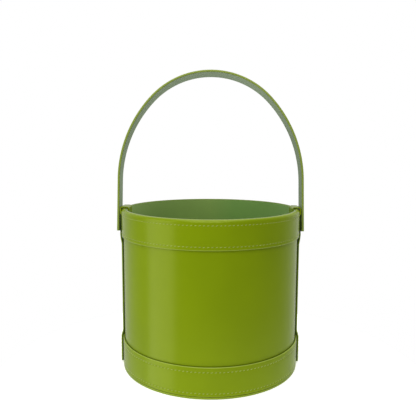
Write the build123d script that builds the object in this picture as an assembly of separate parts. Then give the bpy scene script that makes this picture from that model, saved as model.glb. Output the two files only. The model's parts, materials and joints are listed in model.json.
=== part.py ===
from build123d import *
import os
from math import cos, radians, sin

# Round leather-covered picking bucket with a tall bail handle.
# Origin: centre of the underside. +Z up, +X through the right-hand handle pivot, +Y to the back.
# All lengths are millimetres and all angles are degrees.

# ---- bucket wall, from the inside out ----
LINING_INNER_RADIUS = 119.5
LINING_THICKNESS = 1.0
CORE_THICKNESS = 3.0
SKIN_THICKNESS = 1.5
BAND_THICKNESS = 2.5

# ---- heights ----
RIM_HEIGHT = 229.0
RIM_SHOULDER_RADIUS = 4.5
RIM_INNER_EDGE_RADIUS = 0.6
LINING_TOP = 228.2
UPPER_BAND_BOTTOM = 190.1
LOWER_BAND_TOP = 42.3
BAND_CORNER_RADIUS = 0.6

# ---- base ----
SOLE_THICKNESS = 3.5
SOLE_INSET = 0.2
BASE_BOARD_THICKNESS = 4.0
FLOOR_LINING_THICKNESS = 1.0

# ---- sewing thread, seated level with the leather's surface ----
THREAD_SIZE = 0.7
UPPER_BAND_ROWS = (221.2, 194.6)
LOWER_BAND_ROWS = (35.7, 7.9)
STRAP_ROW_INSET = 3.0
STRAP_THREAD_BOTTOM = 5.0
STRAP_THREAD_TOP = 222.0

# ---- side straps ----
STRAP_WIDTH = 27.0
STRAP_THICKNESS = 2.5
STRAP_FOLD_THICKNESS = 1.8
STRAP_BOTTOM = 2.5
STRAP_INNER_LEG_BOTTOM = 190.0
STRAP_RIM_GAP = 0.3
STRAP_FOLD_RADIUS = 1.0
UPPER_STRAP_RAMP = 12.6
LOWER_STRAP_RAMP = 6.5
STRAP_RAMP_OVERLAP = 1.3

# ---- handle ----
HANDLE_WIDTH = 27.6
HANDLE_CLEARANCE = 0.35
INNER_LEATHER_THICKNESS = 1.2
HANDLE_CORE_THICKNESS = 0.8
OUTER_LEATHER_THICKNESS = 1.2
HANDLE_CORE_MARGIN = 2.2
HANDLE_END_HEIGHT = 194.5
HANDLE_TOP_HEIGHT = 427.7
CROWN_RADIUS = 117.6
CROWN_HALF_ANGLE = 48.0
HANDLE_LEAN = 9.0
HANDLE_THREAD_INSET = 2.6
HANDLE_THREAD_END_GAP = 4.0

# ---- pivots ----
PIVOT_HEIGHT = 212.0
RIVET_RADIUS = 2.5
RIVET_HEAD_RADIUS = 5.0
RIVET_HEAD_THICKNESS = 1.2
WASHER_RADIUS = 7.0
WASHER_THICKNESS = 1.0
BUSH_CLEARANCE = 0.06
BUSH_WALL = 1.0
CAP_RADIUS = 5.5
CAP_THICKNESS = 1.2
CAP_CLEARANCE = 0.15
CAP_EDGE_RADIUS = 0.8

# ---- worked out from the above ----
CORE_INNER_RADIUS = LINING_INNER_RADIUS + LINING_THICKNESS
SKIN_INNER_RADIUS = CORE_INNER_RADIUS + CORE_THICKNESS
BODY_RADIUS = SKIN_INNER_RADIUS + SKIN_THICKNESS
BAND_RADIUS = BODY_RADIUS + BAND_THICKNESS
STRAP_OUTER_RADIUS = BAND_RADIUS + STRAP_THICKNESS
STRAP_INNER_RADIUS = LINING_INNER_RADIUS - STRAP_THICKNESS
STRAP_CREST_UNDERSIDE = RIM_HEIGHT + STRAP_RIM_GAP
STRAP_CREST = STRAP_CREST_UNDERSIDE + STRAP_FOLD_THICKNESS
BASE_BOARD_TOP = SOLE_THICKNESS + BASE_BOARD_THICKNESS
FLOOR_HEIGHT = BASE_BOARD_TOP + FLOOR_LINING_THICKNESS
WALL_STACK_TOP = RIM_HEIGHT - BAND_THICKNESS
WALL_SHOULDER_RADIUS = RIM_SHOULDER_RADIUS - BAND_THICKNESS
HANDLE_INNER_FACE = STRAP_OUTER_RADIUS + HANDLE_CLEARANCE
HANDLE_THICKNESS = INNER_LEATHER_THICKNESS + HANDLE_CORE_THICKNESS + OUTER_LEATHER_THICKNESS
HANDLE_OUTER_FACE = HANDLE_INNER_FACE + HANDLE_THICKNESS
CAP_INNER_FACE = HANDLE_OUTER_FACE + CAP_CLEARANCE
CAP_OUTER_FACE = CAP_INNER_FACE + CAP_THICKNESS
RIVET_TIP = CAP_INNER_FACE + CAP_THICKNESS / 2
WASHER_OUTER_FACE = STRAP_INNER_RADIUS - 0.2
WASHER_INNER_FACE = WASHER_OUTER_FACE - WASHER_THICKNESS
RIVET_HEAD_FACE = WASHER_INNER_FACE - RIVET_HEAD_THICKNESS
BUSH_INNER_RADIUS = RIVET_RADIUS + BUSH_CLEARANCE
BUSH_OUTER_RADIUS = BUSH_INNER_RADIUS + BUSH_WALL

SIDES = {"left": -1, "right": 1}


# ---- shape helpers ----

def turned(profile):
    """Solid of revolution about Z of a sketch whose x is the radius and y is the height."""
    return revolve(Plane.XZ * profile, Axis.Z)


def slab(inner_radius, outer_radius, bottom, top):
    """Rectangle of a turned profile."""
    middle = Pos((inner_radius + outer_radius) / 2, (bottom + top) / 2)
    return middle * Rectangle(outer_radius - inner_radius, top - bottom)


def outline(corners):
    """Face of a closed outline; each corner is a point and the radius that rounds it."""
    points = [point for point, _ in corners]
    radii = [radius for _, radius in corners]
    return make_face(FilletPolyline(*points, radius=radii, close=True).edges())


def disc(radius, bottom, top):
    """Flat round plate centred on Z."""
    return Pos(0, 0, bottom) * extrude(Circle(radius), top - bottom)


def pivot_rod(side, radius, start, end):
    """Round bar on the pivot axis between two distances from the bucket's centre."""
    plane = Plane(origin=(side * start, 0, PIVOT_HEIGHT), z_dir=(side, 0, 0))
    return extrude(plane * Circle(radius), end - start)


def with_pivot_holes(shape, radius):
    """Cut the hole of both pivots through a shape."""
    for side in SIDES.values():
        shape -= pivot_rod(side, radius, STRAP_INNER_RADIUS - 5, CAP_OUTER_FACE + 5)
    return shape


# ---- base ----

def make_base():
    return {
        "base_sole": disc(BAND_RADIUS - SOLE_INSET, 0, SOLE_THICKNESS),
        "base_board": disc(CORE_INNER_RADIUS, SOLE_THICKNESS, BASE_BOARD_TOP),
        "floor_lining": disc(LINING_INNER_RADIUS, BASE_BOARD_TOP, FLOOR_HEIGHT),
    }


# ---- wall ----

def wall_stack():
    """Core and skin together, which the upper band is folded over, in section."""
    return outline([
        ((CORE_INNER_RADIUS, SOLE_THICKNESS), 0),
        ((BODY_RADIUS, SOLE_THICKNESS), 0),
        ((BODY_RADIUS, WALL_STACK_TOP), WALL_SHOULDER_RADIUS),
        ((CORE_INNER_RADIUS, WALL_STACK_TOP), 0),
    ])


def make_wall():
    core = wall_stack() & slab(CORE_INNER_RADIUS, SKIN_INNER_RADIUS, SOLE_THICKNESS, WALL_STACK_TOP)
    skin = wall_stack() & slab(SKIN_INNER_RADIUS, BODY_RADIUS, SOLE_THICKNESS, WALL_STACK_TOP)
    lining = slab(LINING_INNER_RADIUS, CORE_INNER_RADIUS, BASE_BOARD_TOP, LINING_TOP)
    return {
        "wall_core": with_pivot_holes(turned(core), RIVET_RADIUS),
        "outer_skin": with_pivot_holes(turned(skin), RIVET_RADIUS),
        "inner_lining": with_pivot_holes(turned(lining), RIVET_RADIUS),
    }


# ---- bands and their thread ----

def thread_ring(height):
    """One sewn row round a band, level with the band's surface."""
    half = THREAD_SIZE / 2
    return turned(slab(BAND_RADIUS - THREAD_SIZE, BAND_RADIUS, height - half, height + half))


def upper_band_profile():
    """Band face, folded over the rim and ending at the lining."""
    return outline([
        ((BODY_RADIUS, UPPER_BAND_BOTTOM), 0),
        ((BAND_RADIUS, UPPER_BAND_BOTTOM), BAND_CORNER_RADIUS),
        ((BAND_RADIUS, RIM_HEIGHT), RIM_SHOULDER_RADIUS),
        ((CORE_INNER_RADIUS, RIM_HEIGHT), RIM_INNER_EDGE_RADIUS),
        ((CORE_INNER_RADIUS, WALL_STACK_TOP), 0),
        ((BODY_RADIUS, WALL_STACK_TOP), WALL_SHOULDER_RADIUS),
    ])


def lower_band_profile():
    return outline([
        ((BODY_RADIUS, SOLE_THICKNESS), 0),
        ((BAND_RADIUS, SOLE_THICKNESS), BAND_CORNER_RADIUS),
        ((BAND_RADIUS, LOWER_BAND_TOP), BAND_CORNER_RADIUS),
        ((BODY_RADIUS, LOWER_BAND_TOP), 0),
    ])


def make_bands():
    upper_thread = [thread_ring(height) for height in UPPER_BAND_ROWS]
    lower_thread = [thread_ring(height) for height in LOWER_BAND_ROWS]
    upper_band = turned(upper_band_profile()) - upper_thread
    lower_band = turned(lower_band_profile()) - lower_thread
    return {
        "upper_band": with_pivot_holes(upper_band, RIVET_RADIUS),
        "lower_band": lower_band,
        "upper_band_thread": Compound(upper_thread),
        "lower_band_thread": Compound(lower_thread),
    }


# ---- side straps ----

def strap_profile():
    """Strap in section: inner leg, fold over the rim, outer leg that dips between the bands."""
    upper_ramp_bottom = UPPER_BAND_BOTTOM - UPPER_STRAP_RAMP
    lower_ramp_top = LOWER_BAND_TOP + LOWER_STRAP_RAMP
    dip_radius = BODY_RADIUS + STRAP_THICKNESS
    fold = STRAP_FOLD_RADIUS
    outer_fold = STRAP_FOLD_RADIUS + STRAP_THICKNESS
    return outline([
        ((BAND_RADIUS, STRAP_BOTTOM), 0),
        ((STRAP_OUTER_RADIUS, STRAP_BOTTOM), BAND_CORNER_RADIUS),
        ((STRAP_OUTER_RADIUS, LOWER_BAND_TOP - STRAP_RAMP_OVERLAP), 0),
        ((dip_radius, lower_ramp_top), 0),
        ((dip_radius, upper_ramp_bottom), 0),
        ((STRAP_OUTER_RADIUS, UPPER_BAND_BOTTOM + STRAP_RAMP_OVERLAP), 0),
        ((STRAP_OUTER_RADIUS, STRAP_CREST), outer_fold),
        ((STRAP_INNER_RADIUS, STRAP_CREST), outer_fold),
        ((STRAP_INNER_RADIUS, STRAP_INNER_LEG_BOTTOM), 0),
        ((LINING_INNER_RADIUS, STRAP_INNER_LEG_BOTTOM), 0),
        ((LINING_INNER_RADIUS, STRAP_CREST_UNDERSIDE), fold),
        ((BAND_RADIUS, STRAP_CREST_UNDERSIDE), fold),
        ((BAND_RADIUS, UPPER_BAND_BOTTOM), 0),
        ((BODY_RADIUS, upper_ramp_bottom), 0),
        ((BODY_RADIUS, lower_ramp_top), 0),
        ((BAND_RADIUS, LOWER_BAND_TOP), 0),
    ])


def side_zone(side, middle, width):
    """Upright slice of space on one side of the bucket, at a distance in Y from the XZ plane."""
    centre = Pos(side * STRAP_OUTER_RADIUS, middle, RIM_HEIGHT / 2)
    return centre * Box(STRAP_OUTER_RADIUS, width, 2 * RIM_HEIGHT)


def strap_thread(side):
    """Upright rows of thread along the strap's edges, where it lies on the two bands."""
    row = STRAP_WIDTH / 2 - STRAP_ROW_INSET
    seat = STRAP_OUTER_RADIUS - THREAD_SIZE
    spans = (
        (STRAP_THREAD_BOTTOM, LOWER_BAND_TOP - 2 * STRAP_RAMP_OVERLAP),
        (UPPER_BAND_BOTTOM + 2 * STRAP_RAMP_OVERLAP, STRAP_THREAD_TOP),
    )
    rings = [turned(slab(seat, STRAP_OUTER_RADIUS, bottom, top)) for bottom, top in spans]
    return [ring & side_zone(side, y, THREAD_SIZE) for ring in rings for y in (-row, row)]


def make_straps():
    parts = {}
    full_turn = turned(strap_profile())
    for name, side in SIDES.items():
        strap = with_pivot_holes(full_turn & side_zone(side, 0, STRAP_WIDTH), RIVET_RADIUS)
        thread = strap_thread(side)
        parts[f"{name}_side_strap"] = strap - thread
        parts[f"{name}_strap_thread"] = Compound(thread)
    return parts


# ---- pivots ----

def rivet_cap(side):
    """Low cap with a rounded outer edge and a blind hole for the rivet's end."""
    cap = pivot_rod(side, CAP_RADIUS, CAP_INNER_FACE, CAP_OUTER_FACE)
    outer_rim = cap.edges().filter_by(GeomType.CIRCLE).sort_by(Axis.X)[-1 if side > 0 else 0]
    cap = fillet(outer_rim, CAP_EDGE_RADIUS)
    return cap - pivot_rod(side, RIVET_RADIUS, CAP_INNER_FACE, RIVET_TIP)


def rivet(side):
    head = pivot_rod(side, RIVET_HEAD_RADIUS, RIVET_HEAD_FACE, WASHER_INNER_FACE)
    head_rim = head.edges().filter_by(GeomType.CIRCLE).sort_by(Axis.X)[0 if side > 0 else -1]
    head = fillet(head_rim, CAP_EDGE_RADIUS)
    return head + pivot_rod(side, RIVET_RADIUS, WASHER_INNER_FACE, RIVET_TIP)


def make_pivots():
    parts = {}
    for name, side in SIDES.items():
        washer = pivot_rod(side, WASHER_RADIUS, WASHER_INNER_FACE, WASHER_OUTER_FACE)
        washer -= pivot_rod(side, RIVET_RADIUS, WASHER_INNER_FACE, WASHER_OUTER_FACE)
        parts[f"{name}_pivot_rivet"] = rivet(side)
        parts[f"{name}_backing_washer"] = washer
        parts[f"{name}_rivet_cap"] = rivet_cap(side)
    return parts


# ---- handle, drawn upright and then leaned back about the pivot axis ----

def under_arch(inset):
    """Face under the three-centred arch, its outline moved inwards by an inset."""
    crown_rise = sin(radians(CROWN_HALF_ANGLE))
    side_radius = (HANDLE_OUTER_FACE - CROWN_RADIUS * crown_rise) / (1 - crown_rise)
    crown_centre = HANDLE_TOP_HEIGHT - CROWN_RADIUS
    centre_gap = side_radius - CROWN_RADIUS
    side_centre_x = centre_gap * crown_rise
    spring_height = crown_centre - centre_gap * cos(radians(CROWN_HALF_ANGLE))
    half_width = HANDLE_OUTER_FACE - inset
    side_sweep = 90 - CROWN_HALF_ANGLE
    outline = [
        Line((-half_width, HANDLE_END_HEIGHT), (half_width, HANDLE_END_HEIGHT)),
        Line((half_width, HANDLE_END_HEIGHT), (half_width, spring_height)),
        CenterArc((-side_centre_x, spring_height), side_radius - inset, 0, side_sweep),
        CenterArc((0, crown_centre), CROWN_RADIUS - inset, side_sweep, 2 * CROWN_HALF_ANGLE),
        CenterArc((side_centre_x, spring_height), side_radius - inset, 180 - side_sweep, side_sweep),
        Line((-half_width, spring_height), (-half_width, HANDLE_END_HEIGHT)),
    ]
    return make_face(outline)


def arch_layer(outer_inset, inner_inset, width):
    """Strip of the handle between two insets from its outer face, centred on the XZ plane."""
    profile = under_arch(outer_inset) - under_arch(inner_inset)
    return extrude(Plane.XZ * profile, width / 2, both=True)


def leaned(shape):
    """Turn the upright handle back about the pivot axis."""
    return shape.rotate(Axis((0, 0, PIVOT_HEIGHT), (-1, 0, 0)), HANDLE_LEAN)


def handle_thread():
    """Thread rows along both edges of the handle, level with its outer face."""
    row = HANDLE_WIDTH / 2 - HANDLE_THREAD_INSET
    ends = Box(4 * HANDLE_OUTER_FACE, HANDLE_WIDTH, 2 * HANDLE_THREAD_END_GAP)
    strip = arch_layer(0, THREAD_SIZE, THREAD_SIZE) - Pos(0, 0, HANDLE_END_HEIGHT) * ends
    return [Pos(0, y, 0) * strip for y in (-row, row)]


def make_handle():
    core_outer = OUTER_LEATHER_THICKNESS
    core_inner = OUTER_LEATHER_THICKNESS + HANDLE_CORE_THICKNESS
    layers = {
        "handle_outer_leather": arch_layer(0, core_outer, HANDLE_WIDTH),
        "handle_core": arch_layer(core_outer, core_inner, HANDLE_WIDTH - 2 * HANDLE_CORE_MARGIN),
        "handle_inner_leather": arch_layer(core_inner, HANDLE_THICKNESS, HANDLE_WIDTH),
    }
    parts = {}
    thread = handle_thread()
    layers["handle_outer_leather"] -= thread
    for name, layer in layers.items():
        parts[name] = leaned(with_pivot_holes(layer, BUSH_OUTER_RADIUS))
    parts["handle_thread"] = leaned(Compound(thread))
    for name, side in SIDES.items():
        bush = pivot_rod(side, BUSH_OUTER_RADIUS, HANDLE_INNER_FACE, HANDLE_OUTER_FACE)
        bush -= pivot_rod(side, BUSH_INNER_RADIUS, HANDLE_INNER_FACE, HANDLE_OUTER_FACE)
        parts[f"{name}_pivot_bush"] = leaned(bush)
    return parts


# ---- write every part ----

def main():
    parts = {}
    for make in (make_base, make_wall, make_bands, make_straps, make_pivots, make_handle):
        parts.update(make())
    os.makedirs("parts", exist_ok=True)
    for name, shape in parts.items():
        export_step(shape, f"parts/{name}.step")


main()
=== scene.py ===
import json
import math

import bmesh
import bpy
from mathutils import Matrix, Vector


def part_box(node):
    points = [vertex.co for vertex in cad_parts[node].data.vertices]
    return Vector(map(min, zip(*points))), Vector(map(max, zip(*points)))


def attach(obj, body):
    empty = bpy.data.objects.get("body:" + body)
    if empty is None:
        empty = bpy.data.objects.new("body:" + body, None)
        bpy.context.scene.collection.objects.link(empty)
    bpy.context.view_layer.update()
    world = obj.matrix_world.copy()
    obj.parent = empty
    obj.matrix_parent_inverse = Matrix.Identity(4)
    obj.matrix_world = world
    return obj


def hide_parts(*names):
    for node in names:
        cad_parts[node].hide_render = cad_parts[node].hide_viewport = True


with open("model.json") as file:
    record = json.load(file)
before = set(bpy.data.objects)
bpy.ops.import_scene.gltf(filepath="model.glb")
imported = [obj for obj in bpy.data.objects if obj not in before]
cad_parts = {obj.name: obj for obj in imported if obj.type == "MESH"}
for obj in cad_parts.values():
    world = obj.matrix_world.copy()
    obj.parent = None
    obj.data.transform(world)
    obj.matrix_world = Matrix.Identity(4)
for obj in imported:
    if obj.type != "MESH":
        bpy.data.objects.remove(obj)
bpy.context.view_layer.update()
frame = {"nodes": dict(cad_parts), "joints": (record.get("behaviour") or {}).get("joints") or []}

# Looks of a round leather bucket with a tall strap handle. Lengths are metres, angles are degrees.
MM = 0.001

# ---- places and sizes read from the CAD model ----
BODY_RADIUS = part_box("outer_skin")[1].x
BAND_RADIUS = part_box("upper_band")[1].x
LINING_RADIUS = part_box("floor_lining")[1].x
CORE_INNER_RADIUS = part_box("inner_lining")[1].x
CORE_OUTER_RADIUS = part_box("wall_core")[1].x
RIM_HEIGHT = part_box("upper_band")[1].z
UPPER_BAND_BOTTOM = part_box("upper_band")[0].z
LOWER_BAND_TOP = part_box("lower_band")[1].z
LOWER_BAND_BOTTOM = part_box("lower_band")[0].z
SKIN_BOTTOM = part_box("outer_skin")[0].z
SKIN_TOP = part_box("outer_skin")[1].z
LINING_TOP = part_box("inner_lining")[1].z
LINING_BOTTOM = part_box("inner_lining")[0].z
FLOOR_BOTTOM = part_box("floor_lining")[0].z
FLOOR_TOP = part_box("floor_lining")[1].z
SOLE_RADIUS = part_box("base_sole")[1].x
SOLE_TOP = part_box("base_sole")[1].z
STRAP_LOW, STRAP_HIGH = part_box("right_side_strap")
STRAP_WIDTH = STRAP_HIGH.y - STRAP_LOW.y
STRAP_THICKNESS = STRAP_HIGH.x - BAND_RADIUS
PIVOT = Vector(frame["joints"][0]["pos_m"])
BUSH_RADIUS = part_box("right_pivot_bush")[1].y

# ---- sizes that the CAD boxes don't give, as in the part's own source ----
HANDLE_LEAN = 9.0
HANDLE_WIDTH = 27.6 * MM
HANDLE_THICKNESS = 3.2 * MM
HANDLE_OUTER_FACE = 133.55 * MM
HANDLE_END_HEIGHT = 194.5 * MM
HANDLE_TOP_HEIGHT = 427.7 * MM
CROWN_RADIUS = 117.6 * MM
CROWN_HALF_ANGLE = 48.0
UPPER_BAND_ROWS = (221.2 * MM, 194.6 * MM)
LOWER_BAND_ROWS = (35.7 * MM, 7.9 * MM)
STRAP_ROW_INSET = 3.0 * MM
HANDLE_ROW_INSET = 2.6 * MM
RIM_SHOULDER_RADIUS = 4.5 * MM
RIM_INNER_EDGE_RADIUS = 0.6 * MM
STRAP_FOLD_THICKNESS = 1.8 * MM
STRAP_INNER_LEG_BOTTOM = 190.0 * MM
UPPER_STRAP_RAMP = 12.6 * MM
LOWER_STRAP_RAMP = 6.5 * MM
STRAP_RAMP_OVERLAP = 1.3 * MM
RIVET_RADIUS = 2.5 * MM

# ---- how the leather lies and ends, beyond the plain CAD solids ----
BAND_EDGE_RADIUS = 0.9 * MM
SOLE_EDGE_RADIUS = 1.2 * MM
FLOOR_EDGE_RADIUS = 0.3 * MM
STRAP_EDGE_RADIUS = 0.7 * MM
HANDLE_EDGE_RADIUS = 0.8 * MM
SKIN_TUCK = 3.0 * MM
STRAP_BEND_RADIUS = 12.0 * MM
STRAP_FOLD_RADIUS = 3.5 * MM
STRAP_THINNING_REACH = 6.0 * MM
STRAP_BULGE = 0.8 * MM
STRAP_BULGE_REACH = 10.0 * MM
RIM_DIP = 0.9 * MM
RIM_DIP_REACH = 8.0 * MM
DRILL_LENGTH = 40 * MM

# ---- sewing ----
STITCH_PITCH = 5.2 * MM
STITCH_LENGTH = 3.2 * MM
STITCH_RADIUS = 0.46 * MM
STITCH_TAPER = 0.45
STITCH_SLANT = 0.30
STITCH_RISE = -0.18 * MM
STITCH_SINK = 0.55 * MM
STITCH_RINGS = 9
STITCH_SIDES = 8
GROOVE_DEPTH = 0.12 * MM
GROOVE_WIDTH = 0.75 * MM
HOLE_DEPTH = 0.30 * MM
HOLE_WIDTH = 0.6 * MM
UNDERSIDE_PRESS = 0.4
UNDERSIDE_SINK = 0.1 * MM
STITCHES_ROUND = round(2 * math.pi * BAND_RADIUS / STITCH_PITCH)
RING_PITCH = 2 * math.pi * BAND_RADIUS / STITCHES_ROUND

# ---- how fine the meshes are ----
COLUMNS_PER_STITCH = 6
STATIONS_PER_STITCH = 4
SEAM_COLUMNS = (-2.0, -1.2, -0.7, -0.35, 0.0, 0.35, 0.7, 1.2, 2.0)
STRIP_COLUMN = 3.0 * MM
BAND_COLUMN = 4.0 * MM
FACE_TOLERANCE = 0.3 * MM
WALL_SEGMENTS = 256
DISC_SEGMENTS = 192
HOLE_SEGMENTS = 48
FLOOR_SEGMENTS = 96
SKIN_ROWS = 36
LINING_ROWS = 30
HIDDEN_ROWS = 3
DISC_RINGS = 12
SHARP_ANGLE = 50.0

# ---- edge tones: above zero, edge paint and painted shade at joins and creases; below zero, painted highlights ----
EDGE_PAINT_AND_SHADE = 1.0
CREASE_SHADE_AND_EDGE_PAINT = 0.6
RIM_EDGE_SHADE = 0.35
FAINT_EDGE_SHADE = 0.1
FAINT_PAINTED_HIGHLIGHT = -0.3
PAINTED_HIGHLIGHT = -0.7

# ---- painted shade on a side strap's edges: faint where it folds over the lit rim, full in the handle end's shadow ----
FOLD_TONE_GAIN = 0.15
FOLD_REACH = (-8.0 * MM, 18.0 * MM)
SHADED_TONE_GAIN = 10.0

# ---- painted light at the lining's top, its darker right side, painted shadow lines at joins, highlight green ----
LIT_TOP_DEPTH = 60 * MM
RIGHTWARD_RAMP = (0.0, 40 * MM)
SHADOW_LINE_WIDTH = 0.6 * MM
HIGHLIGHT_GREEN = (0.330, 0.420, 0.070)

# ---- camera: a little above the handle's pivots, looking slightly down ----
CAMERA_DISTANCE = 0.7323
CAMERA_HEIGHT = 0.3143
CAMERA_PITCH = 6.73
CAMERA_YAW = -0.284
CAMERA_ROLL = 0.22
CAMERA_LENS = 43.94
CAMERA_SENSOR = 36.0

# ---- stage, and the room's light: in front of the object, behind it and from the ground ----
FLOOR_RADIUS = 0.30
FLOOR_FRONT = 0.34
FLOOR_GLOW = 0.40
FRONT_LIGHT = 0.27
BACK_LIGHT = 0.60
FRONT_TO_BACK = (0.15, 0.75)
GROUND_LIGHT = 0.90
GROUND_FADE = (-0.25, -0.50)

# ---- lamps: name, place, what it points at, width, height, watts, and whether it shows in the gloss ----
LAMPS = (
    ("left_panel", (-0.97, -0.52, 0.15), (0.0, 0.0, 0.12), 0.72, 1.5, 6.4, True),
    ("front_key", (-0.1, -1.3, 1.5), (0.0, 0.0, 0.12), 1.2, 1.2, 18.0, True),
    ("overhead", (0.0, 0.0, 1.8), (0.0, 0.0, 0.0), 1.4, 1.4, 12.0, True),
    ("back_fill", (0.84, 0.71, 0.40), (-0.10, 0.03, 0.36), 0.6, 0.6, 5.0, False),
)


# ---- mesh helpers ----

def new_object(name, mesh):
    """Turns a bmesh into an object in the scene."""
    data = bpy.data.meshes.new(name)
    mesh.to_mesh(data)
    mesh.free()
    made = bpy.data.objects.new(name, data)
    bpy.context.scene.collection.objects.link(made)
    return made


def drill(piece, radius):
    """Cuts the holes of both pivots through a piece."""
    mesh = bmesh.new()
    along_x = Matrix.Rotation(math.radians(90), 4, "Y")
    size = {"radius1": radius, "radius2": radius, "depth": DRILL_LENGTH}
    for side in (-1, 1):
        spot = Matrix.Translation((side * BODY_RADIUS, PIVOT.y, PIVOT.z)) @ along_x
        bmesh.ops.create_cone(mesh, cap_ends=True, segments=HOLE_SEGMENTS, matrix=spot, **size)
    drills = new_object("drills", mesh)
    cut = piece.modifiers.new("holes", "BOOLEAN")
    cut.operation = "DIFFERENCE"
    cut.object = drills
    solid = piece.evaluated_get(bpy.context.evaluated_depsgraph_get())
    piece.data = bpy.data.meshes.new_from_object(solid)
    piece.modifiers.clear()
    bpy.data.objects.remove(drills)


def finished_piece(name, mesh, body, slot, material, stands_for=(), hole=0.0):
    """Turns a bmesh into a smooth object that rides on a body. hole is the radius of the pivots' holes."""
    bmesh.ops.recalc_face_normals(mesh, faces=mesh.faces)
    piece = new_object(name, mesh)
    if hole:
        drill(piece, hole)
    piece.data.shade_smooth()
    piece.data.set_sharp_from_angle(angle=math.radians(SHARP_ANGLE))
    piece.data.materials.append(material)
    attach(piece, body)
    if stands_for:
        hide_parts(*stands_for)
    return piece


def add_tube(mesh, place, stations, section, closed, dip=None, edge_gain=None):
    """Adds a closed section, repeated along stations, to a mesh.

    place maps (along, across, up) to a point. section is a list of (across, up, edge), and dip, if
    given, is how far a point of the section sinks. edge is its tone: above zero, edge paint and
    painted shade; below zero, a painted highlight. edge_gain, if given, scales it along the way.
    """
    uv_layer = mesh.loops.layers.uv.verify()
    edge_layer = mesh.verts.layers.float.get("edge") or mesh.verts.layers.float.new("edge")
    girth = [0.0]
    for (a0, u0, _), (a1, u1, _) in zip(section, section[1:] + section[:1]):
        girth.append(girth[-1] + math.hypot(a1 - a0, u1 - u0))
    rows = []
    for along in stations:
        row = []
        gain = edge_gain(along) if edge_gain else 1.0
        for across, up, edge in section:
            sunk = dip(along, across, up) if dip else 0.0
            vertex = mesh.verts.new(place(along, across, up - sunk))
            vertex[edge_layer] = edge * gain
            row.append(vertex)
        rows.append(row)
    pairs = list(zip(range(len(rows)), range(1, len(rows))))
    if closed:
        pairs.append((len(rows) - 1, 0))
    count = len(section)
    step = stations[1] - stations[0]
    for first, second in pairs:
        for k in range(count):
            n = (k + 1) % count
            face = mesh.faces.new((rows[first][k], rows[second][k], rows[second][n], rows[first][n]))
            start = stations[first]
            end = start + step if second == 0 else stations[second]
            corners = ((start, girth[k]), (end, girth[k]), (end, girth[k + 1]), (start, girth[k + 1]))
            for loop, uv in zip(face.loops, corners):
                loop[uv_layer].uv = uv
    if not closed:
        mesh.faces.new(rows[0])
        mesh.faces.new(rows[-1])


def spread(start, end, count):
    """Evenly spaced values from start to end, both included."""
    return [start + (end - start) * i / (count - 1) for i in range(count)]


def arc_points(centre, radius, start, end, count):
    """Points of an arc in a turned profile, angles in degrees from +radius towards +height."""
    angles = [math.radians(a) for a in spread(start, end, count)]
    return [(centre[0] + radius * math.cos(a), centre[1] + radius * math.sin(a)) for a in angles]


# ---- paths in the XZ plane ----

class Track:
    """Straight runs joined by tangent arcs, measured by its own length."""

    def __init__(self, corners, radii):
        self.pieces = []
        points = [Vector(c) for c in corners]
        here = points[0]
        for i, radius in enumerate(radii):
            before = (points[i + 1] - points[i]).normalized()
            after = (points[i + 2] - points[i + 1]).normalized()
            turn = -before.angle_signed(after)
            cut = radius * math.tan(abs(turn) / 2)
            bend_start = points[i + 1] - before * cut
            heading = math.atan2(before.y, before.x)
            self.pieces.append(((bend_start - here).length, here, heading, 0.0))
            self.pieces.append((radius * abs(turn), bend_start, heading, turn))
            here = points[i + 1] + after * cut
        last = points[-1] - here
        self.pieces.append((last.length, here, math.atan2(last.y, last.x), 0.0))
        self.length = sum(piece[0] for piece in self.pieces)

    def at(self, distance):
        """Point and outward direction, to the right of the way along, at a distance."""
        for length, start, heading, turn in self.pieces[:-1]:
            if distance <= length:
                break
            distance -= length
        else:
            length, start, heading, turn = self.pieces[-1]
        if turn:
            radius = length / turn
            now = heading + turn * distance / length
            shift = Vector((math.sin(now) - math.sin(heading), math.cos(heading) - math.cos(now)))
            point = start + shift * radius
        else:
            now = heading
            point = start + Vector((math.cos(now), math.sin(now))) * distance
        return point, Vector((math.sin(now), -math.cos(now)))


# ---- sewing ----

def seam_dip(rows, pitch, phase, face_up):
    """How far leather sinks at a seam: a groove along each row, with a pit at each needle hole.

    Only points at the height face_up sink.
    """
    def dip(along, across, up):
        if abs(up - face_up) > FACE_TOLERANCE:
            return 0.0
        depth = 0.0
        from_hole = ((along - phase) / pitch + 0.5) % 1.0 - 0.5
        pit = math.exp(-(from_hole * pitch / HOLE_WIDTH) ** 2)
        for row in rows:
            off = across - row
            depth += GROOVE_DEPTH * math.exp(-(off / GROOVE_WIDTH) ** 2)
            depth += HOLE_DEPTH * pit * math.exp(-(off / HOLE_WIDTH) ** 2)
        return depth
    return dip


def columns_near(rows, low, high, coarse):
    """Values from low to high, close together beside each row of a seam and wider apart elsewhere."""
    near = [row + offset * MM for row in rows for offset in SEAM_COLUMNS]
    values = sorted([low, high] + [v for v in near if low < v < high])
    filled = [values[0]]
    for value in values[1:]:
        gap = value - filled[-1]
        parts = max(1, math.ceil(gap / coarse))
        filled += [filled[-1] + gap * (i + 1) / parts for i in range(parts)]
    return filled


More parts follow.
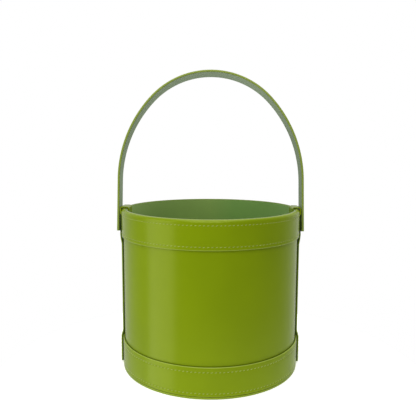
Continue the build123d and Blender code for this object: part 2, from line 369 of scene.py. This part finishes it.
def add_stitch(mesh, place, along, row, face, lean):
    """One stitch: a short run of thread that comes out of one needle hole and goes into the next."""
    uv_layer = mesh.loops.layers.uv.verify()
    rings = []
    for t in spread(-1.0, 1.0, STITCH_RINGS):
        lift = STITCH_RISE - STITCH_SINK * t ** 4
        width = STITCH_RADIUS * (1.0 - STITCH_TAPER * t ** 4)
        ring = []
        for k in range(STITCH_SIDES):
            angle = 2 * math.pi * k / STITCH_SIDES
            across = row + lean * t * STITCH_LENGTH / 2 + width * math.cos(angle)
            up = face[0] + face[1] * (lift + width * math.sin(angle))
            ring.append(mesh.verts.new(place(along + t * STITCH_LENGTH / 2, across, up)))
        rings.append(ring)
    for i in range(STITCH_RINGS - 1):
        for k in range(STITCH_SIDES):
            n = (k + 1) % STITCH_SIDES
            quad = (rings[i][k], rings[i + 1][k], rings[i + 1][n], rings[i][n])
            corners = ((i, k), (i + 1, k), (i + 1, k + 1), (i, k + 1))
            for loop, (u, v) in zip(mesh.faces.new(quad).loops, corners):
                loop[uv_layer].uv = (u / (STITCH_RINGS - 1), v / STITCH_SIDES)
    mesh.faces.new(rings[0])
    mesh.faces.new(rings[-1])


# ---- materials ----

class Nodes:
    """A small helper around a material's node tree."""

    def __init__(self, name):
        self.material = bpy.data.materials.new(name)
        self.material.use_nodes = True
        self.tree = self.material.node_tree
        self.shader = self.tree.nodes["Principled BSDF"]

    def add(self, kind, **settings):
        """Adds a node and sets its properties."""
        node = self.tree.nodes.new(kind)
        for key, value in settings.items():
            setattr(node, key, value)
        return node

    def link(self, source, target):
        self.tree.links.new(source, target)

    def coordinates(self, source="Object", scale=(1, 1, 1)):
        """Texture coordinates, stretched along their axes."""
        origin = self.add("ShaderNodeTexCoord")
        mapping = self.add("ShaderNodeMapping")
        mapping.inputs["Scale"].default_value = scale
        self.link(origin.outputs[source], mapping.inputs["Vector"])
        return mapping.outputs["Vector"]

    def noise(self, vector, scale, detail=3.0, roughness=0.5):
        node = self.add("ShaderNodeTexNoise")
        node.inputs["Scale"].default_value = scale
        node.inputs["Detail"].default_value = detail
        node.inputs["Roughness"].default_value = roughness
        self.link(vector, node.inputs["Vector"])
        return node.outputs["Fac"]

    def ramp(self, value, low, high, out_low, out_high):
        """Maps low to out_low and high to out_high, and holds both beyond."""
        node = self.add("ShaderNodeMapRange")
        for key, number in (("From Min", low), ("From Max", high), ("To Min", out_low), ("To Max", out_high)):
            node.inputs[key].default_value = number
        self.link(value, node.inputs["Value"])
        return node.outputs["Result"]

    def mix(self, factor, first, second, blend="MIX"):
        """Mixes two colours; each is a colour tuple or an output socket."""
        node = self.add("ShaderNodeMix", data_type="RGBA", blend_type=blend)
        self.link(factor, node.inputs["Factor"])
        for socket, value in ((node.inputs[6], first), (node.inputs[7], second)):
            if isinstance(value, tuple):
                socket.default_value = (*value, 1.0)
            else:
                self.link(value, socket)
        return node.outputs[2]

    def along(self, axis):
        """Distance from the origin along an axis, in metres."""
        split = self.add("ShaderNodeSeparateXYZ")
        self.link(self.coordinates(), split.inputs["Vector"])
        return split.outputs[axis]

    def attribute(self, name):
        """A number stored on the mesh."""
        node = self.add("ShaderNodeAttribute", attribute_name=name)
        return node.outputs["Fac"]

    def bump(self, heights):
        """Chains bumps; heights is a list of (value, distance in metres)."""
        normal = None
        for value, distance in heights:
            node = self.add("ShaderNodeBump")
            node.inputs["Strength"].default_value = 1.0
            node.inputs["Distance"].default_value = distance
            self.link(value, node.inputs["Height"])
            if normal:
                self.link(normal, node.inputs["Normal"])
            normal = node.outputs["Normal"]
        self.link(normal, self.shader.inputs["Normal"])

    def set(self, **values):
        """Sets or links inputs of the shader; _ stands for a space in their names."""
        for key, value in values.items():
            socket = self.shader.inputs[key.replace("_", " ")]
            if isinstance(value, bpy.types.NodeSocket):
                self.link(value, socket)
            else:
                socket.default_value = value


def leather(name, colour, shade, edge_colour, roughness, specular):
    """Smooth dyed leather with fine pores, slow changes of tone, edge paint, painted shade and painted
    highlights.
    """
    m = Nodes(name)
    at = m.coordinates()
    tone = m.ramp(m.noise(at, 12, 2), 0.35, 0.65, 0.0, 1.0)
    speck = m.ramp(m.noise(at, 420, 2), 0.3, 0.7, 0.0, 0.15)
    dyed = m.mix(speck, m.mix(tone, colour, shade), shade)
    polish = m.ramp(m.noise(at, 55, 4, 0.6), 0.3, 0.7, roughness - 0.02, roughness + 0.02)
    # Below zero the edge tone paints a highlight in a pale green; above zero it mixes in edge_colour, as edge
    # paint and painted shade.
    painted_light = m.ramp(m.attribute("edge"), 0.0, -1.0, 0.0, 1.0)
    with_painted_light = m.mix(painted_light, dyed, HIGHLIGHT_GREEN)
    m.set(Base_Color=m.mix(m.attribute("edge"), with_painted_light, edge_colour), Roughness=polish)
    m.set(Specular_IOR_Level=specular, Specular_Tint=(1.0, 1.0, 0.4, 1.0))
    m.bump([(m.noise(at, 24, 1), 0.2 * MM), (m.noise(at, 700, 3, 0.6), 0.006 * MM)])
    return m.material


def lining_leather(name, colour, shade, edge_colour):
    """Matt unglazed leather with faint streaks along the strip."""
    m = Nodes(name)
    at = m.coordinates()
    streak = m.ramp(m.noise(m.coordinates("UV", (4, 260, 1)), 1.0, 1), 0.3, 0.7, 0.0, 0.7)
    tone = m.ramp(m.noise(at, 22, 2), 0.35, 0.65, 0.0, 0.4)
    matt = m.mix(tone, m.mix(streak, colour, shade), shade)
    m.set(Base_Color=m.mix(m.attribute("edge"), matt, edge_colour), Roughness=0.7)
    m.set(Specular_IOR_Level=0.1)
    m.bump([(streak, 0.01 * MM), (m.noise(at, 900, 2), 0.005 * MM)])
    return m.material


def suede(name, colour, shade, painted_light, right_tint):
    """Brushed suede: blotches where the pile lies another way, a fine fuzz, and painted light towards the
    rim.

    The last colour multiplies the colour more and more towards +X, making the lining darker and greener on
    the right.
    """
    m = Nodes(name)
    at = m.coordinates(scale=(1, 1, 0.45))
    blotch = m.ramp(m.noise(at, 38, 5, 0.65), 0.38, 0.62, 0.0, 1.0)
    fibre = m.noise(at, 2200, 3, 0.7)
    speck = m.ramp(m.noise(at, 700, 3, 0.6), 0.3, 0.7, 0.0, 0.5)
    toned = m.mix(blotch, colour, shade)
    # Painted light: the lining is lighter towards the rim.
    lit_top = m.ramp(m.along("Z"), RIM_HEIGHT - LIT_TOP_DEPTH, RIM_HEIGHT, 0.0, 1.0)
    with_painted_light = m.mix(lit_top, m.mix(speck, toned, shade), painted_light)
    # Darker and greener towards +X, on the right.
    turned = m.ramp(m.along("X"), *RIGHTWARD_RAMP, 0.0, 1.0)
    m.set(Base_Color=m.mix(turned, with_painted_light, right_tint, blend="MULTIPLY"))
    m.set(Roughness=0.92, Specular_IOR_Level=0.12)
    m.set(Sheen_Weight=0.25, Sheen_Roughness=0.6, Sheen_Tint=(0.75, 0.95, 0.55, 1.0))
    m.bump([(blotch, 0.12 * MM), (fibre, 0.10 * MM)])
    return m.material


def thread(name, colour, shade):
    """Waxed thread whose plies twist along each stitch."""
    m = Nodes(name)
    along = m.coordinates("UV", scale=(5.0, 2.0, 1.0))
    ply = m.add("ShaderNodeTexWave", wave_type="BANDS", bands_direction="DIAGONAL")
    ply.inputs["Scale"].default_value = 1.0
    m.link(along, ply.inputs["Vector"])
    fuzz = m.noise(m.coordinates(), 3000, 2)
    tone = m.mix(ply.outputs["Fac"], shade, colour)
    m.set(Base_Color=tone, Roughness=m.ramp(fuzz, 0.3, 0.7, 0.5, 0.7), Specular_IOR_Level=0.3)
    m.bump([(ply.outputs["Fac"], 0.08 * MM), (fuzz, 0.02 * MM)])
    return m.material


def metal(name, colour, shade, roughness, brush):
    """Brushed metal; brush is the stretch of the scratches along X, Y and Z."""
    m = Nodes(name)
    at = m.coordinates(scale=brush)
    scratch = m.noise(at, 900, 4, 0.7)
    stain = m.ramp(m.noise(m.coordinates(), 130, 3), 0.35, 0.65, 0.0, 1.0)
    m.set(Base_Color=m.mix(stain, colour, shade), Metallic=1.0)
    m.set(Roughness=m.ramp(scratch, 0.3, 0.7, roughness - 0.08, roughness + 0.08))
    m.bump([(scratch, 0.02 * MM)])
    return m.material


def board(name, colour, shade):
    """Pressed grey board with fibres."""
    m = Nodes(name)
    fibre = m.noise(m.coordinates(scale=(1, 1, 6)), 260, 5, 0.7)
    speck = m.ramp(m.noise(m.coordinates(), 900, 2), 0.4, 0.7, 0.0, 1.0)
    toned = m.mix(m.ramp(fibre, 0.35, 0.65, 0.0, 1.0), colour, shade)
    m.set(Base_Color=m.mix(speck, toned, shade), Roughness=0.9)
    m.bump([(fibre, 0.08 * MM)])
    return m.material


def paper_floor(name, colour, shade):
    """Matt white paper that glows a little by itself; it is not sampled as a lamp."""
    m = Nodes(name)
    tooth = m.noise(m.coordinates(), 300, 3)
    m.set(Base_Color=m.mix(m.ramp(tooth, 0.3, 0.7, 0.0, 1.0), colour, shade), Roughness=0.95)
    m.set(Specular_IOR_Level=0.1, Emission_Strength=FLOOR_GLOW, Emission_Color=(1.0, 1.0, 1.0, 1.0))
    m.bump([(tooth, 0.02 * MM)])
    m.material.cycles.emission_sampling = "NONE"
    return m.material


GREEN_DYE = ((0.188, 0.268, 0.0004), (0.175, 0.252, 0.0004))
# Dark edge colour of the green leather: painted shade at joins, in creases and on the straps' edges.
PAINTED_SHADE_GREEN = (0.020, 0.042, 0.006)
TRIMMED_EDGE = (0.200, 0.260, 0.045)
GREEN = leather("green_leather", *GREEN_DYE, PAINTED_SHADE_GREEN, roughness=0.24, specular=0.32)
TRIMMED_GREEN = leather("trimmed_green_leather", *GREEN_DYE, TRIMMED_EDGE, roughness=0.24, specular=0.32)
GREY_GREEN = lining_leather("grey_green_leather", (0.320, 0.395, 0.265), (0.275, 0.345, 0.225), TRIMMED_EDGE)
LINING = suede(
    "suede_lining",
    colour=(0.180, 0.300, 0.062),
    shade=(0.152, 0.265, 0.054),
    painted_light=(0.225, 0.345, 0.085),
    right_tint=(0.75, 0.90, 0.86),
)
BOBBIN_THREAD = thread("bobbin_thread", (0.30, 0.37, 0.24), (0.24, 0.31, 0.19))
THREAD = thread("thread", (0.38, 0.46, 0.11), (0.28, 0.35, 0.06))
STEEL = metal("brushed_steel", (0.60, 0.60, 0.57), (0.48, 0.48, 0.46), 0.32, (0.15, 1, 1))
BRASS = metal("brass", (0.62, 0.45, 0.18), (0.50, 0.35, 0.13), 0.30, (1, 1, 0.2))
BOARD = board("grey_board", (0.28, 0.24, 0.18), (0.20, 0.17, 0.12))
PAPER = paper_floor("pale_paper", (0.93, 0.93, 0.93), (0.90, 0.90, 0.90))


# ---- round pieces ----

def round_place(along, across, up):
    """Point on a ring round Z: along is the way round at the band's radius, across is the height."""
    angle = along / BAND_RADIUS - math.pi / 2
    return Vector((up * math.cos(angle), up * math.sin(angle), across))


def rim_place(along, across, up):
    """As round_place, but the rim is a little lower towards the front."""
    point = round_place(along, across, up)
    near_rim = max(0.0, 1.0 - (RIM_HEIGHT - point.z) / RIM_DIP_REACH)
    near_front = (1.0 - point.y / BAND_RADIUS) / 2
    point.z -= RIM_DIP * near_rim * near_front ** 2
    return point


def ring_stations(count):
    """Evenly spaced places round a ring."""
    return [2 * math.pi * BAND_RADIUS * i / count for i in range(count)]


def turned_mesh(profile, count, dip=None, place=round_place):
    """A ring round Z from a closed profile of (radius, height, edge)."""
    mesh = bmesh.new()
    section = [(height, radius, edge) for radius, height, edge in profile]
    add_tube(mesh, place, ring_stations(count), section, True, dip)
    return mesh


def turned_piece(name, profile, count, slot, material, stands_for, dip=None):
    """A turned mesh as a finished piece of the wall, with the pivots' holes."""
    mesh = turned_mesh(profile, count, dip, rim_place)
    return finished_piece(name, mesh, "bucket", slot, material, stands_for, RIVET_RADIUS)


def with_tone(points, tone=0.0):
    """Points of a turned profile with one tone."""
    return [(radius, height, tone) for radius, height in points]


def band_face(rows, low, high):
    """The outer face of a band, from its lower to its upper edge."""
    return with_tone([(BAND_RADIUS, height) for height in columns_near(rows, low, high, BAND_COLUMN)])


def ring_stitches(name, rows, stands_for):
    """Rows of stitches round a band. Those under the side straps are left out."""
    mesh = bmesh.new()
    hidden = STRAP_WIDTH / 2 - STITCH_LENGTH / 3
    for i in range(STITCHES_ROUND):
        along = (i + 0.5) * RING_PITCH
        if abs(round_place(along, 0, BAND_RADIUS).y) < hidden:
            continue
        for row in rows:
            add_stitch(mesh, round_place, along, row, (BAND_RADIUS, 1), STITCH_SLANT)
    return finished_piece(name, mesh, "bucket", "thread", THREAD, stands_for)


def make_upper_band():
    """Band folded over the rim; its shoulder and inner edge are round, and its top is flat."""
    edge = BAND_EDGE_RADIUS
    low = UPPER_BAND_BOTTOM
    thickness = BAND_RADIUS - BODY_RADIUS
    shoulder = (BAND_RADIUS - RIM_SHOULDER_RADIUS, RIM_HEIGHT - RIM_SHOULDER_RADIUS)
    inner = (CORE_INNER_RADIUS + RIM_INNER_EDGE_RADIUS, RIM_HEIGHT - RIM_INNER_EDGE_RADIUS)
    # Painted shade under the band's foot where it meets the wall, and a painted highlight on its lower bevel.
    profile = with_tone([(BODY_RADIUS, low)], EDGE_PAINT_AND_SHADE)
    profile += with_tone(arc_points((BAND_RADIUS - edge, low + edge), edge, -90, -15, 6), PAINTED_HIGHLIGHT)
    profile += band_face(UPPER_BAND_ROWS, low + edge, shoulder[1])
    over = arc_points(shoulder, RIM_SHOULDER_RADIUS, 0, 90, 13)[1:]
    # A painted highlight on the upper shoulder of the rim, and painted shade on the rim's inner edge below.
    profile += with_tone(over[:7]) + with_tone(over[7:11], FAINT_PAINTED_HIGHLIGHT) + with_tone(over[11:])
    profile += with_tone(arc_points(inner, RIM_INNER_EDGE_RADIUS, 90, 180, 5), RIM_EDGE_SHADE)
    profile += with_tone([(CORE_INNER_RADIUS, RIM_HEIGHT - thickness)])
    profile += with_tone(arc_points(shoulder, RIM_SHOULDER_RADIUS - thickness, 90, 0, 7))
    dip = seam_dip(UPPER_BAND_ROWS, RING_PITCH, 0.0, BAND_RADIUS)
    count = STITCHES_ROUND * COLUMNS_PER_STITCH
    turned_piece("upper_band_leather", profile, count, "green_leather", GREEN, ["upper_band"], dip)
    ring_stitches("upper_band_stitches", UPPER_BAND_ROWS, ["upper_band_thread"])


def make_lower_band():
    """Band round the wall's foot: painted highlights on its edges, painted shade where it meets the wall and
    the sole.
    """
    edge = BAND_EDGE_RADIUS
    low, high = LOWER_BAND_BOTTOM, LOWER_BAND_TOP
    below = arc_points((BAND_RADIUS - edge, low + edge), edge, -90, -15, 6)
    # Painted shade in the crease at the band's foot, then a faint painted highlight on its lower bevel.
    profile = with_tone([(BODY_RADIUS, low)] + below[:4], CREASE_SHADE_AND_EDGE_PAINT) + with_tone(below[4:], FAINT_PAINTED_HIGHLIGHT)
    profile += band_face(LOWER_BAND_ROWS, low + edge, high - edge)
    # A painted highlight on the top bevel, then a painted shadow line on the ledge where the band meets the
    # wall.
    profile += with_tone(arc_points((BAND_RADIUS - edge, high - edge), edge, 15, 90, 6), PAINTED_HIGHLIGHT)
    profile += with_tone([(BODY_RADIUS + SHADOW_LINE_WIDTH, high), (BODY_RADIUS, high)], EDGE_PAINT_AND_SHADE)
    dip = seam_dip(LOWER_BAND_ROWS, RING_PITCH, 0.0, BAND_RADIUS)
    count = STITCHES_ROUND * COLUMNS_PER_STITCH
    mesh = turned_mesh(profile, count, dip)
    finished_piece("lower_band_leather", mesh, "bucket", "green_leather", GREEN, ["lower_band"])
    ring_stitches("lower_band_stitches", LOWER_BAND_ROWS, ["lower_band_thread"])


def make_wall():
    """The outer skin, with a painted shadow line where each band meets it, and the lining."""
    above, below = LOWER_BAND_TOP + SHADOW_LINE_WIDTH / 2, UPPER_BAND_BOTTOM - SHADOW_LINE_WIDTH
    top = SKIN_TOP - SKIN_TUCK
    # Painted shadow lines: the skin darkens to the edge colour at each band's edge.
    outer = with_tone([(BODY_RADIUS, SKIN_BOTTOM), (BODY_RADIUS, LOWER_BAND_TOP)], EDGE_PAINT_AND_SHADE)
    outer += with_tone([(BODY_RADIUS, height) for height in spread(above, below, SKIN_ROWS)])
    outer += with_tone([(BODY_RADIUS, UPPER_BAND_BOTTOM), (BODY_RADIUS, top)], EDGE_PAINT_AND_SHADE)
    inner = with_tone([(CORE_OUTER_RADIUS, height) for height in spread(top, SKIN_BOTTOM, HIDDEN_ROWS)])
    turned_piece("body_leather", outer + inner, WALL_SEGMENTS, "green_leather", GREEN, ["outer_skin"])
    inside = [(LINING_RADIUS, height) for height in spread(LINING_TOP, LINING_BOTTOM, LINING_ROWS)]
    back = [(CORE_INNER_RADIUS, height) for height in spread(LINING_BOTTOM, LINING_TOP, HIDDEN_ROWS)]
    lining = with_tone(inside + back)
    turned_piece("wall_suede", lining, WALL_SEGMENTS, "suede_lining", LINING, ["inner_lining"])


def disc_piece(name, radius, bottom, top, edge, slot, material, stands_for):
    """A round plate with softened rims. It is turned as a ring, whose hole is then filled."""
    hole = radius / DISC_RINGS
    face = [(r, top) for r in spread(hole, radius - edge, DISC_RINGS)[:-1]]
    shoulder = arc_points((radius - edge, top - edge), edge, 90, 0, 5)
    # On the sole: painted shade on its top face and in the crease under the band, and a painted highlight on
    # its outer shoulder.
    profile = with_tone(face + shoulder[:3], CREASE_SHADE_AND_EDGE_PAINT) + with_tone(shoulder[3:], FAINT_PAINTED_HIGHLIGHT)
    profile += with_tone(arc_points((radius - edge, bottom + edge), edge, 0, -90, 5)[1:])
    profile += with_tone([(r, bottom) for r in spread(radius - edge, hole, DISC_RINGS)[1:]])
    mesh = turned_mesh(profile, DISC_SEGMENTS)
    bore = [face for face in mesh.faces if all(v.co.xy.length < hole + MM for v in face.verts)]
    bmesh.ops.delete(mesh, geom=bore, context="FACES")
    bmesh.ops.holes_fill(mesh, edges=mesh.edges)
    return finished_piece(name, mesh, "bucket", slot, material, stands_for)


def make_base():
    """The sole under the bucket and the lining on its floor."""
    size = (SOLE_RADIUS, 0.0, SOLE_TOP, SOLE_EDGE_RADIUS)
    disc_piece("sole_leather", *size, "green_leather", GREEN, ["base_sole"])
    size = (LINING_RADIUS, FLOOR_BOTTOM, FLOOR_TOP, FLOOR_EDGE_RADIUS)
    disc_piece("floor_suede", *size, "suede_lining", LINING, ["floor_lining"])


# ---- strips of leather ----

def strip_section(width, low, high, rounded_low, rounded_high, rows, radius, edge_tones):
    """Closed section of a strip: its lower face, one edge, its upper face and the other edge.

    radius rounds the edge below and above where asked. edge_tones are the tones of a cut edge at its
    lower and at its upper end.
    """
    half = width / 2
    flat = half - radius
    columns = columns_near(rows, -flat, flat, STRIP_COLUMN)
    low_tone, high_tone = edge_tones
    low_turn = low + (radius if rounded_low else 0.0)
    high_turn = high - (radius if rounded_high else 0.0)
    rise = []
    if rounded_low:
        rise += [(a, u, low_tone) for a, u in arc_points((flat, low_turn), radius, -90, 0, 5)[1:-1]]
    rise += [(half, low_turn, low_tone), (half, (low + high) / 2, low_tone), (half, high_turn, high_tone)]
    if rounded_high:
        rise += [(a, u, high_tone) for a, u in arc_points((flat, high_turn), radius, 0, 90, 5)[1:-1]]
    section = [(across, low, 0.0) for across in columns] + rise
    section += [(across, high, 0.0) for across in reversed(columns)]
    return section + [(-across, up, tone) for across, up, tone in reversed(rise)]


def strip_stations(length):
    """Evenly spaced places along a strip of this length, a few for each stitch."""
    return spread(0.0, length, round(length / (STITCH_PITCH / STATIONS_PER_STITCH)))


def strip_stitches(mesh, place, start, end, rows, face):
    """Stitches along the rows of a strip, between two places along it.

    face is the height of the face they lie on and the way it looks: 1 for up, -1 for down.
    """
    count = int((end - start) / STITCH_PITCH)
    for i in range(count):
        for row in rows:
            along = start + (i + 0.5) * STITCH_PITCH
            add_stitch(mesh, place, along, row, face, STITCH_SLANT)


# ---- side straps ----

def strap_track():
    """Outer face of the strap along its middle: up the outside, over the rim and down the inside."""
    outer = BAND_RADIUS + STRAP_THICKNESS
    on_wall = BODY_RADIUS + STRAP_THICKNESS
    crest = STRAP_HIGH.z
    inner = LINING_RADIUS - STRAP_THICKNESS
    corners = [
        (outer, STRAP_LOW.z),
        (outer, LOWER_BAND_TOP - STRAP_RAMP_OVERLAP),
        (on_wall, LOWER_BAND_TOP + LOWER_STRAP_RAMP),
        (on_wall, UPPER_BAND_BOTTOM - UPPER_STRAP_RAMP),
        (outer, UPPER_BAND_BOTTOM + STRAP_RAMP_OVERLAP),
        (outer, crest),
        (inner, crest),
        (inner, STRAP_INNER_LEG_BOTTOM),
    ]
    bend = STRAP_BEND_RADIUS
    return Track(corners, [bend, bend, bend, bend, STRAP_FOLD_RADIUS, STRAP_FOLD_RADIUS])


def ease(distance, reach):
    """0 up to where a change starts and 1 from its reach on."""
    return max(0.0, min(1.0, distance / reach))


def make_side_strap(name, side):
    """Strap sewn to the wall; side is 1 on the right and -1 on the left.

    It thins where it folds over the rim, and bulges a little where the handle's end lets go of it.
    """
    track = strap_track()
    row = STRAP_WIDTH / 2 - STRAP_ROW_INSET
    rows = [-row, row]
    crest = RIM_HEIGHT - STRAP_LOW.z

    def place(along, across, up):
        point, outward = track.at(along)
        near_rim = ease(point.y - (RIM_HEIGHT - STRAP_THINNING_REACH), STRAP_THINNING_REACH)
        thinned = 1.0 - near_rim * (1 - STRAP_FOLD_THICKNESS / STRAP_THICKNESS)
        bulge = 0.0
        if point.x > BODY_RADIUS:
            below_handle = ease(HANDLE_END_HEIGHT - point.y, STRAP_BULGE_REACH)
            bulge = STRAP_BULGE * below_handle * (1 + up / STRAP_THICKNESS)
        radius, height = point + outward * (up * thinned + bulge)
        return Vector((side * math.sqrt(radius ** 2 - across ** 2), across, height))

    # Painted shade on the strap's edges: faint over the rim, where light falls on the fold, and full beside
    # the handle's end, in its shadow.
    def edge_gain(along):
        if FOLD_REACH[0] < along - crest < FOLD_REACH[1]:
            return FOLD_TONE_GAIN
        return SHADED_TONE_GAIN if HANDLE_END_HEIGHT < along + STRAP_LOW.z < RIM_HEIGHT else 1.0

    # Painted shade on the cut edge: full on its inner half beside the wall, faint on its outer corner.
    tones = (EDGE_PAINT_AND_SHADE, FAINT_EDGE_SHADE)
    section = strip_section(STRAP_WIDTH, -STRAP_THICKNESS, 0.0, True, True, rows, STRAP_EDGE_RADIUS, tones)
    dip = seam_dip(rows, STITCH_PITCH, 0.0, 0.0)
    mesh = bmesh.new()
    add_tube(mesh, place, strip_stations(track.length), section, False, dip, edge_gain)
    strap = (f"{name}_strap_leather", mesh, "bucket", "green_leather", GREEN, [f"{name}_side_strap"])
    finished_piece(*strap, hole=RIVET_RADIUS)
    mesh = bmesh.new()
    over_lower_band = (STITCH_PITCH / 2, LOWER_BAND_TOP - 2 * STRAP_RAMP_OVERLAP - STRAP_LOW.z)
    over_upper_band = (UPPER_BAND_BOTTOM + 2 * STRAP_RAMP_OVERLAP, UPPER_BAND_ROWS[0] - STRAP_LOW.z)
    for start, end in (over_lower_band, over_upper_band):
        strip_stitches(mesh, place, start, end, rows, (0.0, 1))
    finished_piece(f"{name}_strap_stitches", mesh, "bucket", "thread", THREAD, [f"{name}_strap_thread"])


# ---- handle ----

def handle_track():
    """Outer face of the arch, drawn upright: leg, side arc, crown, side arc, leg."""
    rise = math.sin(math.radians(CROWN_HALF_ANGLE))
    side_radius = (HANDLE_OUTER_FACE - CROWN_RADIUS * rise) / (1 - rise)
    crown_centre = HANDLE_TOP_HEIGHT - CROWN_RADIUS
    spring = crown_centre - (side_radius - CROWN_RADIUS) * math.cos(math.radians(CROWN_HALF_ANGLE))
    shoulder = spring + side_radius * math.tan(math.radians(90 - CROWN_HALF_ANGLE) / 2)
    peak = crown_centre + CROWN_RADIUS / math.cos(math.radians(CROWN_HALF_ANGLE))
    corners = [
        (HANDLE_OUTER_FACE, HANDLE_END_HEIGHT),
        (HANDLE_OUTER_FACE, shoulder),
        (0.0, peak),
        (-HANDLE_OUTER_FACE, shoulder),
        (-HANDLE_OUTER_FACE, HANDLE_END_HEIGHT),
    ]
    return Track(corners, [side_radius, CROWN_RADIUS, side_radius])


def make_handle():
    """Two strips sewn back to back along the arch, which leans back by the handle's lean."""
    track = handle_track()
    lean = Matrix.Translation(PIVOT) @ Matrix.Rotation(math.radians(-HANDLE_LEAN), 4, "X")
    lean = lean @ Matrix.Translation(-PIVOT)
    row = HANDLE_WIDTH / 2 - HANDLE_ROW_INSET
    rows = [-row, row]

    def place(along, across, up):
        point, outward = track.at(along)
        x, z = point + outward * up
        return lean @ Vector((x, across, z))

    stations = strip_stations(track.length)
    sew = (place, STITCH_PITCH, track.length - STITCH_PITCH, rows)
    under, middle = -HANDLE_THICKNESS, -HANDLE_THICKNESS / 2
    dip = seam_dip(rows, STITCH_PITCH, STITCH_PITCH, 0.0)
    press = seam_dip(rows, STITCH_PITCH, STITCH_PITCH, under)

    def rise(along, across, up):
        return -UNDERSIDE_PRESS * press(along, across, up)

    tones = (EDGE_PAINT_AND_SHADE, CREASE_SHADE_AND_EDGE_PAINT)
    section = strip_section(HANDLE_WIDTH, middle, 0.0, False, True, rows, HANDLE_EDGE_RADIUS, tones)
    mesh = bmesh.new()
    add_tube(mesh, place, stations, section, False, dip)
    outer = ("handle_outer", mesh, "handle", "green_leather", TRIMMED_GREEN, ["handle_outer_leather"])
    finished_piece(*outer, hole=BUSH_RADIUS)
    mesh = bmesh.new()
    strip_stitches(mesh, *sew, (0.0, 1))
    finished_piece("handle_stitches", mesh, "handle", "thread", THREAD, ["handle_thread"])

    tones = (EDGE_PAINT_AND_SHADE, EDGE_PAINT_AND_SHADE)
    section = strip_section(HANDLE_WIDTH, under, middle, True, False, rows, HANDLE_EDGE_RADIUS, tones)
    mesh = bmesh.new()
    add_tube(mesh, place, stations, section, False, rise)
    inner = ("handle_inner", mesh, "handle", "grey_green_leather", GREY_GREEN, ["handle_inner_leather"])
    finished_piece(*inner, hole=BUSH_RADIUS)
    mesh = bmesh.new()
    strip_stitches(mesh, *sew, (under + 2 * UNDERSIDE_SINK, -1))
    finished_piece("handle_under_stitches", mesh, "handle", "thread", BOBBIN_THREAD)


# ---- CAD nodes that are shown as they are ----

def dress_cad_nodes():
    """Gives the boards, the handle's core and the metal parts their materials."""
    looks = {"wall_core": BOARD, "base_board": BOARD, "handle_core": STEEL}
    for side in ("left", "right"):
        for node in ("pivot_rivet", "backing_washer", "rivet_cap"):
            looks[f"{side}_{node}"] = STEEL
        looks[f"{side}_pivot_bush"] = BRASS
    for node, material in looks.items():
        data = frame["nodes"][node].data
        data.materials.clear()
        data.materials.append(material)


# ---- camera, floor and light ----

def make_camera():
    """A camera that looks at the object from the front, turned and rolled by its angles."""
    yaw, pitch, roll = (math.radians(a) for a in (CAMERA_YAW, CAMERA_PITCH, CAMERA_ROLL))
    forward = Vector((math.sin(yaw) * math.cos(pitch), math.cos(yaw) * math.cos(pitch), -math.sin(pitch)))
    level = Vector((math.cos(yaw), -math.sin(yaw), 0.0))
    upright = level.cross(forward)
    right = level * math.cos(roll) + upright * math.sin(roll)
    up = upright * math.cos(roll) - level * math.sin(roll)
    data = bpy.data.cameras.new("camera")
    data.lens = CAMERA_LENS
    data.sensor_width = CAMERA_SENSOR
    camera = bpy.data.objects.new("camera", data)
    bpy.context.scene.collection.objects.link(camera)
    turn = Matrix((right, up, -forward)).transposed().to_4x4()
    camera.matrix_world = Matrix.Translation((0, -CAMERA_DISTANCE, CAMERA_HEIGHT)) @ turn
    bpy.context.scene.camera = camera


def make_floor():
    """A round pale ground that doesn't show in the object's gloss."""
    mesh = bmesh.new()
    middle = Matrix.Translation((0, FLOOR_RADIUS - FLOOR_FRONT, 0))
    bmesh.ops.create_circle(mesh, cap_ends=True, segments=FLOOR_SEGMENTS, radius=FLOOR_RADIUS, matrix=middle)
    floor = new_object("floor", mesh)
    floor.data.materials.append(PAPER)
    floor.visible_glossy = False


def soft_light(name, place, target, width, height, power, mirrored):
    """A rectangular lamp. One that isn't mirrored lights the object without showing in its gloss."""
    data = bpy.data.lights.new(name, "AREA")
    data.shape = "RECTANGLE"
    data.size = width
    data.size_y = height
    data.energy = power
    light = bpy.data.objects.new(name, data)
    light.location = place
    light.rotation_euler = (Vector(target) - Vector(place)).to_track_quat("-Z", "Y").to_euler()
    light.visible_camera = False
    light.visible_glossy = mirrored
    bpy.context.scene.collection.objects.link(light)


def make_world():
    """A room that the camera sees as plain white.

    Its light is dim in front of the object, brighter behind and brightest from below.
    """
    world = bpy.data.worlds.new("studio")
    world.use_nodes = True
    tree = world.node_tree
    background = tree.nodes["Background"]
    background.inputs["Color"].default_value = (1.0, 1.0, 1.0, 1.0)
    direction = tree.nodes.new("ShaderNodeTexCoord")
    split = tree.nodes.new("ShaderNodeSeparateXYZ")
    tree.links.new(direction.outputs["Generated"], split.inputs["Vector"])

    def fade(axis, start, end, out_start, out_end):
        node = tree.nodes.new("ShaderNodeMapRange")
        settings = {"From Min": start, "From Max": end, "To Min": out_start, "To Max": out_end}
        for key, value in settings.items():
            node.inputs[key].default_value = value
        tree.links.new(split.outputs[axis], node.inputs["Value"])
        return node.outputs["Result"]

    def brightest(first, second):
        node = tree.nodes.new("ShaderNodeMath")
        node.operation = "MAXIMUM"
        tree.links.new(first, node.inputs[0])
        tree.links.new(second, node.inputs[1])
        return node.outputs["Value"]

    seen = tree.nodes.new("ShaderNodeLightPath").outputs["Is Camera Ray"]
    level = fade("Y", *FRONT_TO_BACK, FRONT_LIGHT, BACK_LIGHT)
    ground = fade("Z", *GROUND_FADE, 0.0, GROUND_LIGHT)
    tree.links.new(brightest(seen, brightest(level, ground)), background.inputs["Strength"])
    bpy.context.scene.world = world


def make_lights():
    """The lamps, and a view that leaves their colours as they are."""
    for lamp in LAMPS:
        soft_light(*lamp)
    bpy.context.scene.view_settings.view_transform = "Standard"
    bpy.context.scene.view_settings.look = "None"


# ---- build ----

make_camera()
make_upper_band()
make_lower_band()
make_wall()
make_base()
make_side_strap("left", -1)
make_side_strap("right", 1)
make_handle()
dress_cad_nodes()
make_floor()
make_world()
make_lights()
